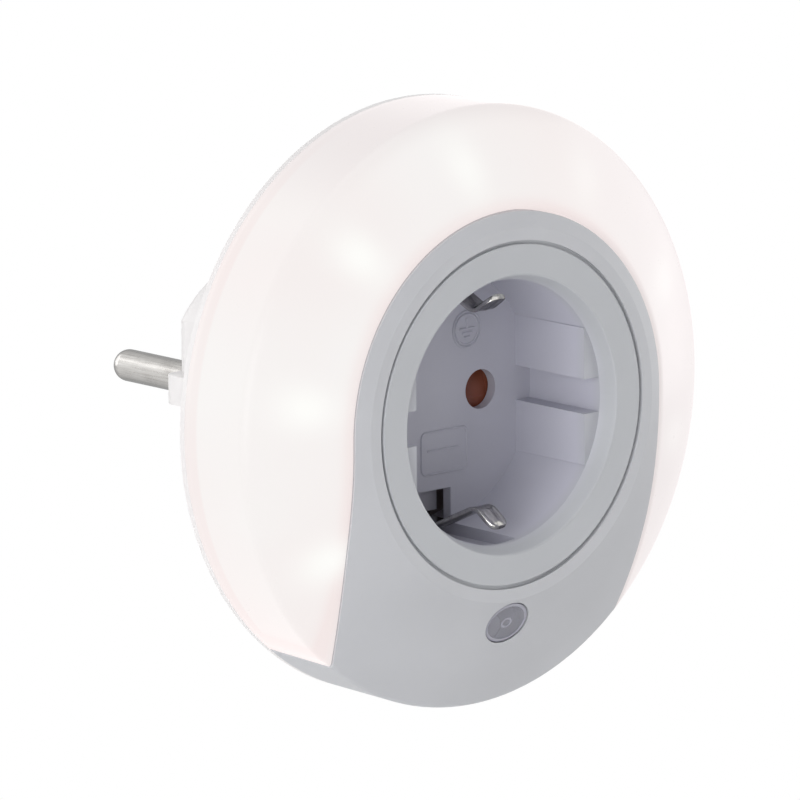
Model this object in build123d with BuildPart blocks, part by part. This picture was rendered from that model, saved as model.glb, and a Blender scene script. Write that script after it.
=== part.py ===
"""Plug-in night light with a pass-through socket.

Frame: +Z up, the light faces -Y, the plug pins point along +Y, origin at the centre of the plug
face. Depths are counted from the front face of the socket towards the wall, heights and radii of
the front half from the socket axis, which lies a little above the plug axis.
"""

from build123d import *
import os
from math import asin, atan2, cos, degrees, radians, sin, sqrt

# ------------------------------------------------------------------ overall form (mm)
reach = 57.5  # front face to plug face
socket_rise = 2.0  # socket axis above the plug axis
dome_r = 79.0  # spherical front, centred on the socket axis
crown_r = 27.6  # flat crown that cuts the dome
rim_r = 44.5  # largest radius, where the dome meets the rim wall
rim_draft = 0.4  # the rim wall is this much smaller at the back
rim_edge_r = 1.0  # rounding between dome and rim wall
rim_back = 22.0  # depth where the rim wall ends on the rear housing
assembly_gap = 0.1  # between moulded pieces that locate each other

# ------------------------------------------------------------------ grey cover and opal diffuser
skin = 1.6  # wall of the cover
opal_skin = 1.8  # wall of the diffuser
cover_ring_r = 29.85  # outer radius of the cover's ring
tongue_straight = 12.0  # the tongue runs straight down this far below the socket axis
tongue_half = 27.7  # half width of the tongue where it goes over the rim
cover_gap = 0.3  # visible joint between cover and diffuser
lip_t = 1.5  # sunk lip of the diffuser, under the cover's edge
lip_reach = 1.6  # how far the lip goes under the cover
lip_root = 1.4  # how far the lip runs back under the diffuser's own skin
lip_back = 18.8  # the lip stops short of the rear housing's spigot
shelf_t = 1.6  # shelf that carries the socket flange
collar_t = 1.4  # collar that holds the circuit board down

# ------------------------------------------------------------------ socket insert
flange_r = 25.15  # flange that shows round the recess
flange_t = 2.0
flange_groove = 0.55  # groove round the flange
mouth_r = 20.6  # recess at its mouth
mouth_edge_r = 0.35
well_r = 19.6  # recess behind the flared mouth
floor_r = 19.4  # recess at its floor
recess_depth = 17.5
floor_t = 1.6
tube_r = 21.6  # outside of the recess tube
lug_x = 16.5  # guide lugs stand in to this half distance
lug_front = 2.6  # depth of their front faces, where the flare of the mouth ends
lug_slot = 5.2  # slot between the upper and the lower lug
lug_top = 10.2  # half height of a pair of lugs
pin_pitch = 19.0
pin_hole_r = 2.95
clip_channel_w = 7.0  # channels of the earth clips
clip_channel_in = 13.8  # inner end of the openings in the floor
clip_channel_out = 20.9
clip_channel_front = 3.4  # the channels stop this far behind the front face
skirt_back = 26.0  # end of the tube behind the floor
skirt_bore_r = 20.0
ledge_bore_r = 19.2  # ledge that the contact carrier sits on
screw_circle_r = 23.2
boss_r = 2.2

# ------------------------------------------------------------------ child-safety shutter
post_r = 2.0
shutter_r = 13.6
shutter_t = 2.0
shutter_gap = 0.3  # to the back of the floor
shutter_turn = 42.0  # degrees from closed to open
tang_w = 3.0
tang_r = 16.4
stop_w = 2.0
stop_gap = 0.5  # degrees between the tang and its stops
ramp_slope = 18.0  # degrees
ramp_sink = 0.5  # depth of the ramp below the front face, at the pin's centre
running_gap = 0.05  # radial clearance of the shutter on its post
spring_wire = 0.5
spring_r = 4.2
spring_turns = 2.5
spring_pitch = 0.65
spring_leg = 3.4  # on the shutter's back
spring_tail = 1.8  # into the carrier
tail_spare = 8.0  # degrees of free slot past each end of the tail's travel

# ------------------------------------------------------------------ contacts and carrier
carrier_front = 22.2
strap_clear = 0.5  # between the carrier and the earth strap
carrier_r = 19.6
sleeve_in_r = 2.5
sleeve_t = 0.6
sleeve_front = 24.6
tail_room = 0.2  # between the riveted tail plates and the housing
strip_t = 0.8
plate_w = 7.0
plate_h = 10.0
rivet_r = 1.5
clip_w = 3.6  # width of an earth clip
clip_hump = 6.7  # depth of the contact hump
clip_hump_h = 14.95  # its distance from the socket axis
clip_tip = 3.0
clip_tip_h = 17.0
clip_run_h = 18.4  # height of the straight run through the floor
clip_bend = 15.4  # depth where the run ends
clip_root = 23.6
clip_room = 1.6  # inner wall of the clips' notches in the carrier, below the straight run
clip_bend_r = 2.4
strap_w = 5.6
hinge_gap = 0.35  # between a clip's root and its strap
strap_room = 0.7  # between the earth strap and the tail plates

# ------------------------------------------------------------------ rear housing and plug
rear_rim_t = 1.0  # thickness of the rear housing at its edge
spigot_rise = 2.6  # spigot inside the rim wall
spigot_t = 1.8
wall_depth = 39.5  # face that meets the wall socket
housing_t = 2.0
plug_r = 18.3
plug_flat = 15.2  # half distance of the plug's side flats
plug_edge_r = 2.8
rib_w = 4.4  # rib on each flat
rib_reach = 17.2
rib_edge_r = 1.6
plug_cavity_r = 13.5
plug_solid = 11.5  # solid end of the plug that holds the pins
groove_w = 7.0  # side grooves of the plug's earth contacts
groove_floor = 15.7
groove_end = 3.0  # closed end next to the plug face
plug_contact_w = 5.6
plug_contact_h = 16.3
plug_contact_bow = 1.3
pin_r = 2.4
pin_length = 19.0
pin_neck_r = 2.1  # the pin is thinner inside the plug, and for a short neck in front of its face
pin_neck = 0.4
pin_relief = 0.8  # depth of the wider end of the pin's bore in the plug's face
pin_collar_r = 3.4
pin_collar_t = 1.6
screw_shank_r = 1.3
screw_head_r = 2.6
screw_head_t = 1.8
screw_length = 19.0
head_recess = 2.9  # depth of the head recess from the wall face
screw_gap = 0.05
screw_cross = 0.7

# ------------------------------------------------------------------ light engine
board_depth = 17.0
board_t = 1.2
board_in_r = 25.9
board_clear = 0.4  # between the board and the diffuser
reflector_t = 1.0
led_count = 7
led_outset = 1.85  # the ring of LEDs lies this far outside the board's middle
led_spacing = 40.0  # degrees
led_l = 3.5
led_w = 2.8
led_t = 0.8
led_window_gap = 0.3
board_post_r = 1.8
board_post_inset = 3.9
component_row = 4.6  # middle of the row of components, from the board's bore
window_clear = 1.45  # between the lens flange and the bore of the cover's ring
window_a = 4.0
window_b = 3.05
window_sink = 0.25  # the lens lies this far below the cover's surface
window_flange = 0.9  # the lens is this much wider under the cover's skin
window_flange_t = 0.8
shroud_back = 12.0
shroud_t = 1.1
sensor_r = 2.3
sensor_gap = 0.6  # between the lens and the dusk sensor
sensor_t = 3.6
lead_r = 0.3
lead_pitch = 2.54
wire_r = 0.7
wire_bend_r = 1.2

# ------------------------------------------------------------------ worked-out values
dome_centre = sqrt(dome_r**2 - crown_r**2)
ring_bore_r = flange_r + flange_groove
tongue_drop = sqrt(rim_r**2 - tongue_half**2)
floor_back = recess_depth + floor_t
shutter_front = floor_back + shutter_gap
shutter_back = shutter_front + shutter_t
reflector_back = board_depth - led_window_gap
reflector_front = reflector_back - reflector_t
board_back = board_depth + board_t
rear_rim_r = rim_r - rim_draft
board_out_r = rear_rim_r - opal_skin - lip_t - board_clear
window_drop = ring_bore_r + window_clear + window_b + window_flange
led_circle_r = (board_in_r + board_out_r) / 2 + led_outset
component_r = board_in_r + component_row
board_post_circle_r = board_out_r - board_post_inset
cove_r = wall_depth - rim_back - rear_rim_t
cavity_back = wall_depth - housing_t
plate_depth = cavity_back - tail_room - strip_t
strap_depth = plate_depth - strap_room - strip_t
carrier_back = strap_depth - strap_clear
post_front = skirt_back
head_seat = wall_depth - head_recess
pin_x = pin_pitch / 2
plug_cavity_back = reach - plug_solid
shelf_back = flange_t + shelf_t

# Sketch planes. FRONT looks out of the recess: x is X and y is Z, offset(-depth) goes inwards.
FRONT = Plane(origin=(0, -reach, socket_rise), x_dir=(1, 0, 0), z_dir=(0, -1, 0))
SECTION = Plane(origin=(0, -reach, socket_rise))  # x is the radius, y the depth
SIDE = Plane(origin=(0, -reach, socket_rise), x_dir=(0, 1, 0), z_dir=(1, 0, 0))  # x depth, y height
PLUG = Plane(origin=(0, -reach, 0), x_dir=(1, 0, 0), z_dir=(0, -1, 0))  # as FRONT, on the plug axis
PLUG_SIDE = Plane(origin=(0, -reach, 0), x_dir=(0, 1, 0), z_dir=(1, 0, 0))
SOCKET_AXIS = Axis((0, -reach, socket_rise), (0, 1, 0))
screw_offset = screw_circle_r * sqrt(0.5)
SCREW_SPOTS = [(sx * screw_offset, sz * screw_offset) for sx in (-1, 1) for sz in (-1, 1)]


def dome_depth(radius, inset=0.0):
    """Depth of the dome surface, moved inwards by inset, at a radius from the socket axis."""
    return dome_centre - sqrt((dome_r - inset) ** 2 - radius**2)


window_seat = dome_depth(window_drop + window_b + window_flange, skin)  # front of the lens flange
sensor_front = window_seat + window_flange_t + sensor_gap


def dome_solid(inset, back):
    """Solid of revolution under the dome and the rim wall, moved inwards by inset."""
    crown = sqrt((dome_r - inset) ** 2 - (dome_centre - inset) ** 2)
    edge = rim_r - inset
    middle = (crown + edge) / 2
    with BuildPart() as body:
        with BuildSketch(SECTION):
            with BuildLine():
                Line((0, inset), (crown, inset))
                rim_depth = dome_depth(edge, inset)
                ThreePointArc((crown, inset), (middle, dome_depth(middle, inset)), (edge, rim_depth))
                Polyline((edge, rim_depth), (edge - rim_draft, back), (0, back), (0, inset))
            rim = make_face().vertices().sort_by(Axis.X)[-1]
            if inset < rim_edge_r:
                fillet(rim, radius=rim_edge_r - inset)
        revolve(axis=SOCKET_AXIS)
    return body.part


def cover_prism(grow):
    """Prism over the outline of the cover, a ring with a tongue down over the rim, grown by grow."""
    below = rim_r + 10
    with BuildPart() as prism:
        with BuildSketch(FRONT.offset(1)):
            Circle(cover_ring_r)
            with BuildLine():
                side = Line((cover_ring_r, 0), (cover_ring_r, -tongue_straight))
                TangentArc(side @ 1, (tongue_half, -tongue_drop), tangent=(0, -1))
                Polyline((tongue_half, -tongue_drop), (tongue_half, -below), (0, -below))
                mirror(about=Plane.YZ)
                Line((-cover_ring_r, 0), (cover_ring_r, 0))
            make_face()
            if grow:
                offset(amount=grow)
        extrude(amount=-(rim_back + 4))
    return prism.part


def ring_of(inner, outer, front, back):
    """Closed tube about the socket axis between two depths, given as its section outline."""
    return [(inner, front), (outer, front), (outer, back), (inner, back), (inner, front)]


# ------------------------------------------------------------------ front cover
with BuildPart() as front_panel:
    add(dome_solid(0, rim_back))
    add(dome_solid(skin, rim_back + 1), mode=Mode.SUBTRACT)
    # light shield round the dusk sensor
    with BuildSketch(FRONT.offset(-shroud_back)):
        with Locations((0, -window_drop)):
            Ellipse(window_a + window_flange + shroud_t, window_b + window_flange + shroud_t)
    extrude(amount=shroud_back)
    add(dome_solid(0, rim_back), mode=Mode.INTERSECT)
    add(cover_prism(0), mode=Mode.INTERSECT)
    # bore for the socket flange, the shelf it sits on and the collar that holds the board
    with BuildSketch(SECTION):
        Polygon(*ring_of(0, ring_bore_r, -1, shelf_back), align=None)
    revolve(axis=SOCKET_AXIS, mode=Mode.SUBTRACT)
    with BuildSketch(SECTION):
        with BuildLine():
            Polyline(
                (tube_r + 4 * assembly_gap, flange_t),
                (ring_bore_r, flange_t),
                (ring_bore_r, skin / 2),
                (crown_r, skin / 2),
                (crown_r, reflector_front),
                (crown_r - collar_t, reflector_front),
                (crown_r - collar_t, shelf_back),
                (tube_r + 4 * assembly_gap, shelf_back),
                close=True,
            )
        make_face()
    revolve(axis=SOCKET_AXIS)
    # notches for the screw bosses of the socket insert
    with BuildSketch(FRONT.offset(-shelf_back - 1)):
        with Locations(*SCREW_SPOTS):
            Circle(boss_r + 2 * assembly_gap)
    extrude(amount=shelf_back + 1 - flange_t, mode=Mode.SUBTRACT)
    # opening of the sensor window, wider behind the skin for the lens flange
    with BuildSketch(FRONT.offset(-shroud_back - 1)):
        with Locations((0, -window_drop)):
            Ellipse(window_a + assembly_gap, window_b + assembly_gap)
    extrude(amount=shroud_back + 2, mode=Mode.SUBTRACT)
    with BuildSketch(FRONT.offset(-shroud_back - 1)):
        with Locations((0, -window_drop)):
            Ellipse(window_a + window_flange + assembly_gap, window_b + window_flange + assembly_gap)
    extrude(amount=shroud_back + 1 - window_seat, mode=Mode.SUBTRACT)
front_panel.part.label = "front_panel"

# ------------------------------------------------------------------ opal diffuser
with BuildPart() as diffuser:
    add(dome_solid(opal_skin, lip_back))
    add(dome_solid(opal_skin + lip_t, lip_back + 1), mode=Mode.SUBTRACT)
    add(cover_prism(cover_gap + lip_root), mode=Mode.INTERSECT)
    add(cover_prism(-lip_reach), mode=Mode.SUBTRACT)
    opal_shell = dome_solid(0, rim_back) - dome_solid(opal_skin, rim_back + 1) - cover_prism(cover_gap)
    add(opal_shell)
diffuser.part.label = "diffuser"

# ------------------------------------------------------------------ socket insert
with BuildPart() as socket_insert:
    with BuildSketch(SECTION) as insert_profile:
        with BuildLine():
            Polyline(
                (well_r, lug_front),
                (mouth_r, 0),
                (flange_r, 0),
                (flange_r, flange_t),
                (tube_r, flange_t),
                (tube_r, skirt_back),
                (skirt_bore_r, skirt_back),
                (skirt_bore_r, carrier_front),
                (ledge_bore_r, carrier_front),
                (ledge_bore_r, floor_back),
                (0, floor_back),
                (0, recess_depth),
                (floor_r, recess_depth),
                close=True,
            )
        make_face()
        front_corners = insert_profile.vertices().group_by(Axis.Y)[0]
        fillet(front_corners.sort_by(Axis.X)[0], radius=mouth_edge_r)
        fillet(insert_profile.vertices().group_by(Axis.Y)[0].sort_by(Axis.X)[-1], radius=mouth_edge_r / 2)
    revolve(axis=SOCKET_AXIS)
    # guide lugs in pairs, with the slot for the plug's rib between them
    with BuildSketch(FRONT.offset(-recess_depth)):
        lug_h = lug_top - lug_slot / 2
        for side in (-1, 1):
            for up in (-1, 1):
                with Locations((side * (lug_x + mouth_r) / 2, up * (lug_slot + lug_h) / 2)):
                    Rectangle(mouth_r - lug_x, lug_h)
        Circle((mouth_r + tube_r) / 2, mode=Mode.INTERSECT)
    extrude(amount=recess_depth - lug_front)
    # pivot post of the shutter and the stops of its tang
    with BuildSketch(FRONT.offset(-carrier_front + shutter_gap)):
        Circle(post_r)
    extrude(amount=carrier_front - shutter_gap - recess_depth - floor_t / 2)
    stop_angle = degrees(asin(tang_w / 2 / tang_r) + asin(stop_w / 2 / tang_r)) + stop_gap + 0.6
    with BuildSketch(FRONT.offset(-shutter_back)):
        with PolarLocations((tang_r + shutter_r) / 2 + 0.6, 1, stop_angle):
            Rectangle(tang_r - shutter_r - 0.2, stop_w)
        with PolarLocations((tang_r + shutter_r) / 2 + 0.6, 1, -shutter_turn - stop_angle):
            Rectangle(tang_r - shutter_r - 0.2, stop_w)
    extrude(amount=shutter_back - recess_depth - floor_t / 2)
    # openings and channels of the earth clips
    with BuildSketch(FRONT.offset(-floor_back - 4)):
        with Locations(*[(0, up * (clip_channel_in + clip_channel_out) / 2) for up in (-1, 1)]):
            Rectangle(clip_channel_w, clip_channel_out - clip_channel_in)
    extrude(amount=floor_back + 4 - clip_channel_front, mode=Mode.SUBTRACT)
    # pin holes
    with BuildSketch(FRONT.offset(-floor_back)):
        with Locations((-pin_x, 0), (pin_x, 0)):
            Circle(pin_hole_r)
    extrude(amount=floor_t, mode=Mode.SUBTRACT)
    # screw bosses along the tube, with their blind pilot holes
    with BuildSketch(FRONT.offset(-skirt_back)):
        with Locations(*SCREW_SPOTS):
            Circle(boss_r)
        Circle((skirt_bore_r + tube_r) / 2, mode=Mode.SUBTRACT)
    extrude(amount=skirt_back - flange_t)
    with BuildSketch(FRONT.offset(-skirt_back)):
        with Locations(*SCREW_SPOTS):
            Circle(screw_shank_r + screw_gap)
    extrude(amount=screw_length - (head_seat - skirt_back) + 1, mode=Mode.SUBTRACT)
socket_insert.part.label = "socket_insert"

# ------------------------------------------------------------------ shutter
with BuildPart() as shutter:
    with BuildSketch(FRONT.offset(-shutter_back)):
        Circle(shutter_r)
        with Locations(((shutter_r + tang_r) / 2 - 0.5, 0)):
            Rectangle(tang_r - shutter_r + 1, tang_w)
        Circle(post_r + running_gap, mode=Mode.SUBTRACT)
        with PolarLocations(pin_x, 2, shutter_turn):
            Circle(pin_hole_r, mode=Mode.SUBTRACT)
    extrude(amount=shutter_t)
    # ramps that a pair of pins pushes against, sunk into the front face
    for side in (1, -1):
        ramp = Plane(
            origin=FRONT.from_local_coords((side * pin_x, 0, -shutter_front - ramp_sink)),
            x_dir=(1, 0, 0),
            z_dir=(0, -cos(radians(ramp_slope)), side * sin(radians(ramp_slope))),
        )
        with BuildSketch(ramp):
            Rectangle(2 * pin_hole_r, 2 * pin_hole_r)
        extrude(amount=shutter_t, mode=Mode.SUBTRACT)
shutter.part.label = "shutter"

# ------------------------------------------------------------------ torsion spring of the shutter
spring_front = shutter_back + spring_wire / 2
with BuildPart() as shutter_spring:
    with BuildLine():
        coil_length = spring_turns * spring_pitch
        coil_end = SOCKET_AXIS.position + Vector(0, spring_front + coil_length, 0)
        coil = Helix(spring_pitch, coil_length, spring_r, center=coil_end, direction=(0, -1, 0))
    with BuildSketch(Plane(origin=coil @ 0, z_dir=coil % 0)):
        RegularPolygon(spring_wire / 2, 8)
    sweep(is_frenet=True)
    # leg that lies on the shutter's back, and leg that reaches into the carrier's arc slot
    outwards = Vector((coil @ 1).X, 0, (coil @ 1).Z - socket_rise)
    with BuildSketch(Plane(origin=coil @ 1, z_dir=outwards)):
        RegularPolygon(spring_wire / 2, 8)
    extrude(amount=spring_leg)
    with BuildSketch(Plane(origin=coil @ 0, z_dir=(0, 1, 0))):
        RegularPolygon(spring_wire / 2, 8)
    extrude(amount=spring_tail)
shutter_spring.part.label = "shutter_spring"

# ------------------------------------------------------------------ contact carrier
tail_angle = degrees(atan2((coil @ 0).Z - socket_rise, (coil @ 0).X))
spring_room_r = spring_r + spring_wire + 0.6
spring_room_back = carrier_front + coil_length + 0.6
tail_path = CenterArc((0, 0), spring_r, tail_angle - shutter_turn - tail_spare, shutter_turn + 2 * tail_spare)
with BuildPart() as contact_carrier:
    with BuildSketch(FRONT.offset(-carrier_back)):
        Circle(carrier_r)
    extrude(amount=carrier_back - carrier_front)
    with BuildSketch(FRONT.offset(-carrier_back - 1)):
        for up in (-1, 1):
            with Locations((0, up * (clip_run_h - clip_room + carrier_r + 2) / 2)):
                Rectangle(clip_channel_w, carrier_r + 2 - clip_run_h + clip_room)
        with Locations((-pin_x, 0), (pin_x, 0)):
            Circle(sleeve_in_r + sleeve_t + assembly_gap)
    extrude(amount=carrier_back - carrier_front + 2, mode=Mode.SUBTRACT)
    with BuildSketch(FRONT.offset(-spring_room_back)):
        Circle(spring_room_r)
    extrude(amount=spring_room_back - carrier_front, mode=Mode.SUBTRACT)
    # arc slot for the fixed leg of the spring
    with BuildSketch(FRONT.offset(-spring_room_back - 2)):
        SlotArc(tail_path, spring_wire + 0.4)
    extrude(amount=2, mode=Mode.SUBTRACT)
    # lightening pockets between the contacts
    with BuildSketch(FRONT.offset(-carrier_back)):
        with Locations(*[(x, z) for x in (-10.5, 10.5) for z in (-10.0, 10.0)]):
            Circle(3.4)
    extrude(amount=carrier_back - carrier_front - housing_t, mode=Mode.SUBTRACT)
contact_carrier.part.label = "contact_carrier"


# ------------------------------------------------------------------ live and neutral contacts
def line_contact(side, name):
    """Sleeve behind one pin hole with its riveted tail plate."""
    with BuildPart() as contact:
        with BuildSketch(FRONT.offset(-plate_depth)):
            with Locations((side * pin_x, 0)):
                Circle(sleeve_in_r + sleeve_t)
                Circle(sleeve_in_r, mode=Mode.SUBTRACT)
            with Locations((side * pin_x, sleeve_in_r)):
                Rectangle(sleeve_t, 4 * sleeve_t, mode=Mode.SUBTRACT)
        extrude(amount=plate_depth - sleeve_front)
        with BuildSketch(FRONT.offset(-plate_depth - strip_t)):
            with Locations((side * pin_x, -socket_rise / 2)):
                RectangleRounded(plate_w, plate_h, 1)
            with Locations((side * pin_x, -socket_rise)):
                Circle(rivet_r, mode=Mode.SUBTRACT)
        extrude(amount=strip_t)
    contact.part.label = name
    return contact


live_contact = line_contact(-1, "live_contact")
neutral_contact = line_contact(1, "neutral_contact")


# ------------------------------------------------------------------ plug pins
def plug_pin(side, name):
    """Round plug pin with its collar behind the plug end and its rivet through the tail plate."""
    with BuildPart() as pin:
        with BuildSketch(Plane(origin=(side * pin_x, -reach, 0))):
            with BuildLine():
                Polyline(
                    (0, plate_depth),
                    (rivet_r, plate_depth),
                    (rivet_r, plate_depth + strip_t),
                    (pin_neck_r, plate_depth + strip_t),
                    (pin_neck_r, plug_cavity_back - pin_collar_t),
                    (pin_collar_r, plug_cavity_back - pin_collar_t),
                    (pin_collar_r, plug_cavity_back),
                    (pin_neck_r, plug_cavity_back),
                    (pin_neck_r, reach + pin_neck),
                    (pin_r, reach + pin_neck),
                    (pin_r, reach + pin_length - pin_r),
                )
                RadiusArc((pin_r, reach + pin_length - pin_r), (0, reach + pin_length), -pin_r)
                Line((0, reach + pin_length), (0, plate_depth))
            make_face()
        revolve(axis=Axis((side * pin_x, 0, 0), (0, 1, 0)))
    pin.part.label = name
    return pin


live_pin = plug_pin(-1, "live_pin")
neutral_pin = plug_pin(1, "neutral_pin")


# ------------------------------------------------------------------ earth clips of the socket
def earth_clip(up, name):
    """Bent leaf that runs through the floor, humps inwards and turns out again at its tip."""
    with BuildPart() as clip:
        with BuildSketch(SIDE):
            with BuildLine():
                FilletPolyline(
                    (clip_root, up * clip_run_h),
                    (clip_bend, up * clip_run_h),
                    (clip_hump, up * (clip_hump_h - 0.5)),
                    (clip_tip, up * clip_tip_h),
                    radius=clip_bend_r,
                )
            trace(line_width=strip_t)
        extrude(amount=clip_w / 2, both=True)
    clip.part.label = name
    return clip


upper_earth_clip = earth_clip(1, "upper_earth_clip")
lower_earth_clip = earth_clip(-1, "lower_earth_clip")

# ------------------------------------------------------------------ earth strap behind the carrier
with BuildPart() as earth_strap:
    with BuildSketch(SIDE):
        with BuildLine():
            FilletPolyline(
                (clip_root + hinge_gap, clip_run_h),
                (strap_depth + strip_t / 2, clip_run_h),
                (strap_depth + strip_t / 2, -clip_run_h),
                (clip_root + hinge_gap, -clip_run_h),
                radius=1.2,
            )
        trace(line_width=strip_t)
    extrude(amount=strap_w / 2, both=True)
earth_strap.part.label = "earth_strap"


# ------------------------------------------------------------------ earth contacts of the plug
def plug_earth(up, name):
    """Strip from the strap out along one side groove of the plug, bowed a little outwards."""
    tab_depth = strap_depth + strip_t * 1.5
    tab_end = 9.0
    end = reach - groove_end - 0.6
    start = wall_depth + 0.6
    middle = (start + end) / 2
    with BuildPart() as contact:
        with BuildSketch(PLUG_SIDE):
            with BuildLine():
                FilletPolyline(
                    (tab_depth, up * tab_end),
                    (tab_depth, up * plug_contact_h),
                    (start, up * plug_contact_h),
                    radius=1.0,
                )
                ThreePointArc(
                    (start, up * plug_contact_h),
                    (middle, up * (plug_contact_h + plug_contact_bow)),
                    (end, up * plug_contact_h),
                )
            trace(line_width=strip_t)
        extrude(amount=plug_contact_w / 2, both=True)
    contact.part.label = name
    return contact


upper_plug_earth = plug_earth(1, "upper_plug_earth")
lower_plug_earth = plug_earth(-1, "lower_plug_earth")

# ------------------------------------------------------------------ rear housing with the plug body
with BuildPart() as rear_housing:
    with BuildSketch(SECTION):
        with BuildLine():
            spigot_r = rear_rim_r - opal_skin - assembly_gap
            Polyline(
                (0, rim_back - spigot_rise),
                (spigot_r, rim_back - spigot_rise),
                (spigot_r, rim_back),
                (rear_rim_r, rim_back),
                (rear_rim_r, rim_back + rear_rim_t),
            )
            RadiusArc((rear_rim_r, rim_back + rear_rim_t), (rear_rim_r - cove_r, wall_depth), cove_r)
            Polyline((rear_rim_r - cove_r, wall_depth), (0, wall_depth), (0, rim_back - spigot_rise))
        make_face()
    revolve(axis=SOCKET_AXIS)
    with BuildSketch(SECTION):
        with BuildLine():
            inner_r = rear_rim_r - opal_skin - assembly_gap - spigot_t
            inner_cove = cove_r + housing_t
            cove_front = wall_depth - sqrt(inner_cove**2 - (rear_rim_r - inner_r) ** 2)
            cove_end = rear_rim_r - sqrt(inner_cove**2 - housing_t**2)
            open_end = rim_back - spigot_rise - 1
            Polyline((0, open_end), (inner_r, open_end), (inner_r, cove_front))
            RadiusArc((inner_r, cove_front), (cove_end, cavity_back), inner_cove)
            Polyline((cove_end, cavity_back), (0, cavity_back), (0, open_end))
        make_face()
    revolve(axis=SOCKET_AXIS, mode=Mode.SUBTRACT)
    # plug body with side flats, rounded at its face
    with BuildSketch(PLUG.offset(-reach)):
        Circle(plug_r)
        Rectangle(2 * plug_flat, 2 * plug_r, mode=Mode.INTERSECT)
    plug_body = extrude(amount=reach - wall_depth + housing_t / 2)
    fillet(rear_housing.faces().sort_by(Axis.Y)[-1].edges(), radius=plug_edge_r)
    # rib across both flats, rounded in plan at the face
    with BuildSketch(Plane(origin=(0, -reach, -rib_w / 2))) as rib_plan:
        with Locations((0, (wall_depth + reach) / 2)):
            Rectangle(2 * rib_reach, reach - wall_depth)
        fillet(rib_plan.vertices().group_by(Axis.Y)[-1], radius=rib_edge_r)
    extrude(amount=rib_w)
    # cavity inside the plug, pin bores and the grooves of the earth contacts
    with BuildSketch(PLUG.offset(-plug_cavity_back)):
        Circle(plug_cavity_r)
    extrude(amount=plug_cavity_back - cavity_back + 0.5, mode=Mode.SUBTRACT)
    with BuildSketch(PLUG.offset(-reach)):
        with Locations((-pin_x, 0), (pin_x, 0)):
            Circle(pin_neck_r)
    extrude(amount=plug_solid, mode=Mode.SUBTRACT)
    with BuildSketch(PLUG.offset(-reach)):
        with Locations((-pin_x, 0), (pin_x, 0)):
            Circle(pin_r + assembly_gap)
    extrude(amount=pin_relief, mode=Mode.SUBTRACT)
    with BuildSketch(PLUG.offset(-reach + groove_end)):
        with Locations(*[(0, up * (groove_floor + 4)) for up in (-1, 1)]):
            Rectangle(groove_w, 8)
    extrude(amount=reach - groove_end - wall_depth, mode=Mode.SUBTRACT)
    with BuildSketch(PLUG.offset(-wall_depth)):
        with Locations(*[(0, up * (plug_contact_h + plug_contact_bow / 2)) for up in (-1, 1)]):
            Rectangle(plug_contact_w + 4 * assembly_gap, plug_contact_bow + strip_t + 4 * assembly_gap)
    extrude(amount=housing_t + 0.5, mode=Mode.SUBTRACT)
    # screw posts with their head recesses
    with BuildSketch(FRONT.offset(-cavity_back - 0.5)):
        with Locations(*SCREW_SPOTS):
            Circle(boss_r + 0.9)
    extrude(amount=cavity_back + 0.5 - post_front)
    with BuildSketch(FRONT.offset(-cavity_back - 0.5)):
        with Locations(*SCREW_SPOTS):
            Circle(screw_head_r + 1.1)
    extrude(amount=cavity_back + 0.5 - carrier_back - 0.3)
    with BuildSketch(FRONT.offset(-wall_depth)):
        with Locations(*SCREW_SPOTS):
            Circle(screw_head_r + 0.3)
    extrude(amount=head_recess, mode=Mode.SUBTRACT)
    with BuildSketch(FRONT.offset(-wall_depth)):
        with Locations(*SCREW_SPOTS):
            Circle(screw_shank_r + screw_gap)
    extrude(amount=wall_depth - post_front, mode=Mode.SUBTRACT)
    # posts that carry the circuit board
    post_foot = wall_depth - sqrt(cove_r**2 - (rear_rim_r - board_post_circle_r) ** 2) - housing_t / 2
    with BuildSketch(FRONT.offset(-post_foot)):
        with PolarLocations(board_post_circle_r, 4):
            Circle(board_post_r)
    extrude(amount=post_foot - board_back)
rear_housing.part.label = "rear_housing"

# ------------------------------------------------------------------ screws
with BuildPart() as case_screws:
    with BuildSketch(FRONT.offset(-head_seat - screw_head_t)):
        with Locations(*SCREW_SPOTS):
            Circle(screw_head_r)
    extrude(amount=screw_head_t)
    fillet(case_screws.faces().group_by(Axis.Y)[-1].edges(), radius=screw_head_t * 0.4)
    with BuildSketch(FRONT.offset(-head_seat)):
        with Locations(*SCREW_SPOTS):
            Circle(screw_shank_r)
    extrude(amount=screw_length)
    with BuildSketch(FRONT.offset(-head_seat - screw_head_t)):
        with Locations(*SCREW_SPOTS):
            Rectangle(screw_head_r * 1.2, screw_cross)
            Rectangle(screw_cross, screw_head_r * 1.2)
    extrude(amount=screw_head_t * 0.6, mode=Mode.SUBTRACT)
case_screws.part.label = "case_screws"

# ------------------------------------------------------------------ light engine
led_angles = [90 + led_spacing * (i - (led_count - 1) / 2) for i in range(led_count)]
with BuildPart() as reflector:
    with BuildSketch(FRONT.offset(-reflector_back)):
        Circle(board_out_r)
        Circle(board_in_r, mode=Mode.SUBTRACT)
        for angle in led_angles:
            with PolarLocations(led_circle_r, 1, angle):
                Rectangle(led_l + 2 * led_window_gap, led_w + 2 * led_window_gap, mode=Mode.SUBTRACT)
        with Locations((0, -window_drop)):
            Rectangle(window_a, window_b, mode=Mode.SUBTRACT)
    extrude(amount=reflector_t)
reflector.part.label = "reflector"

with BuildPart() as led_board:
    with BuildSketch(FRONT.offset(-board_back)):
        Circle(board_out_r)
        Circle(board_in_r, mode=Mode.SUBTRACT)
    extrude(amount=board_t)
led_board.part.label = "led_board"

with BuildPart() as leds:
    with BuildSketch(FRONT.offset(-board_depth)):
        for angle in led_angles:
            with PolarLocations(led_circle_r, 1, angle):
                Rectangle(led_l, led_w)
    extrude(amount=led_t)
leds.part.label = "leds"

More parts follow.
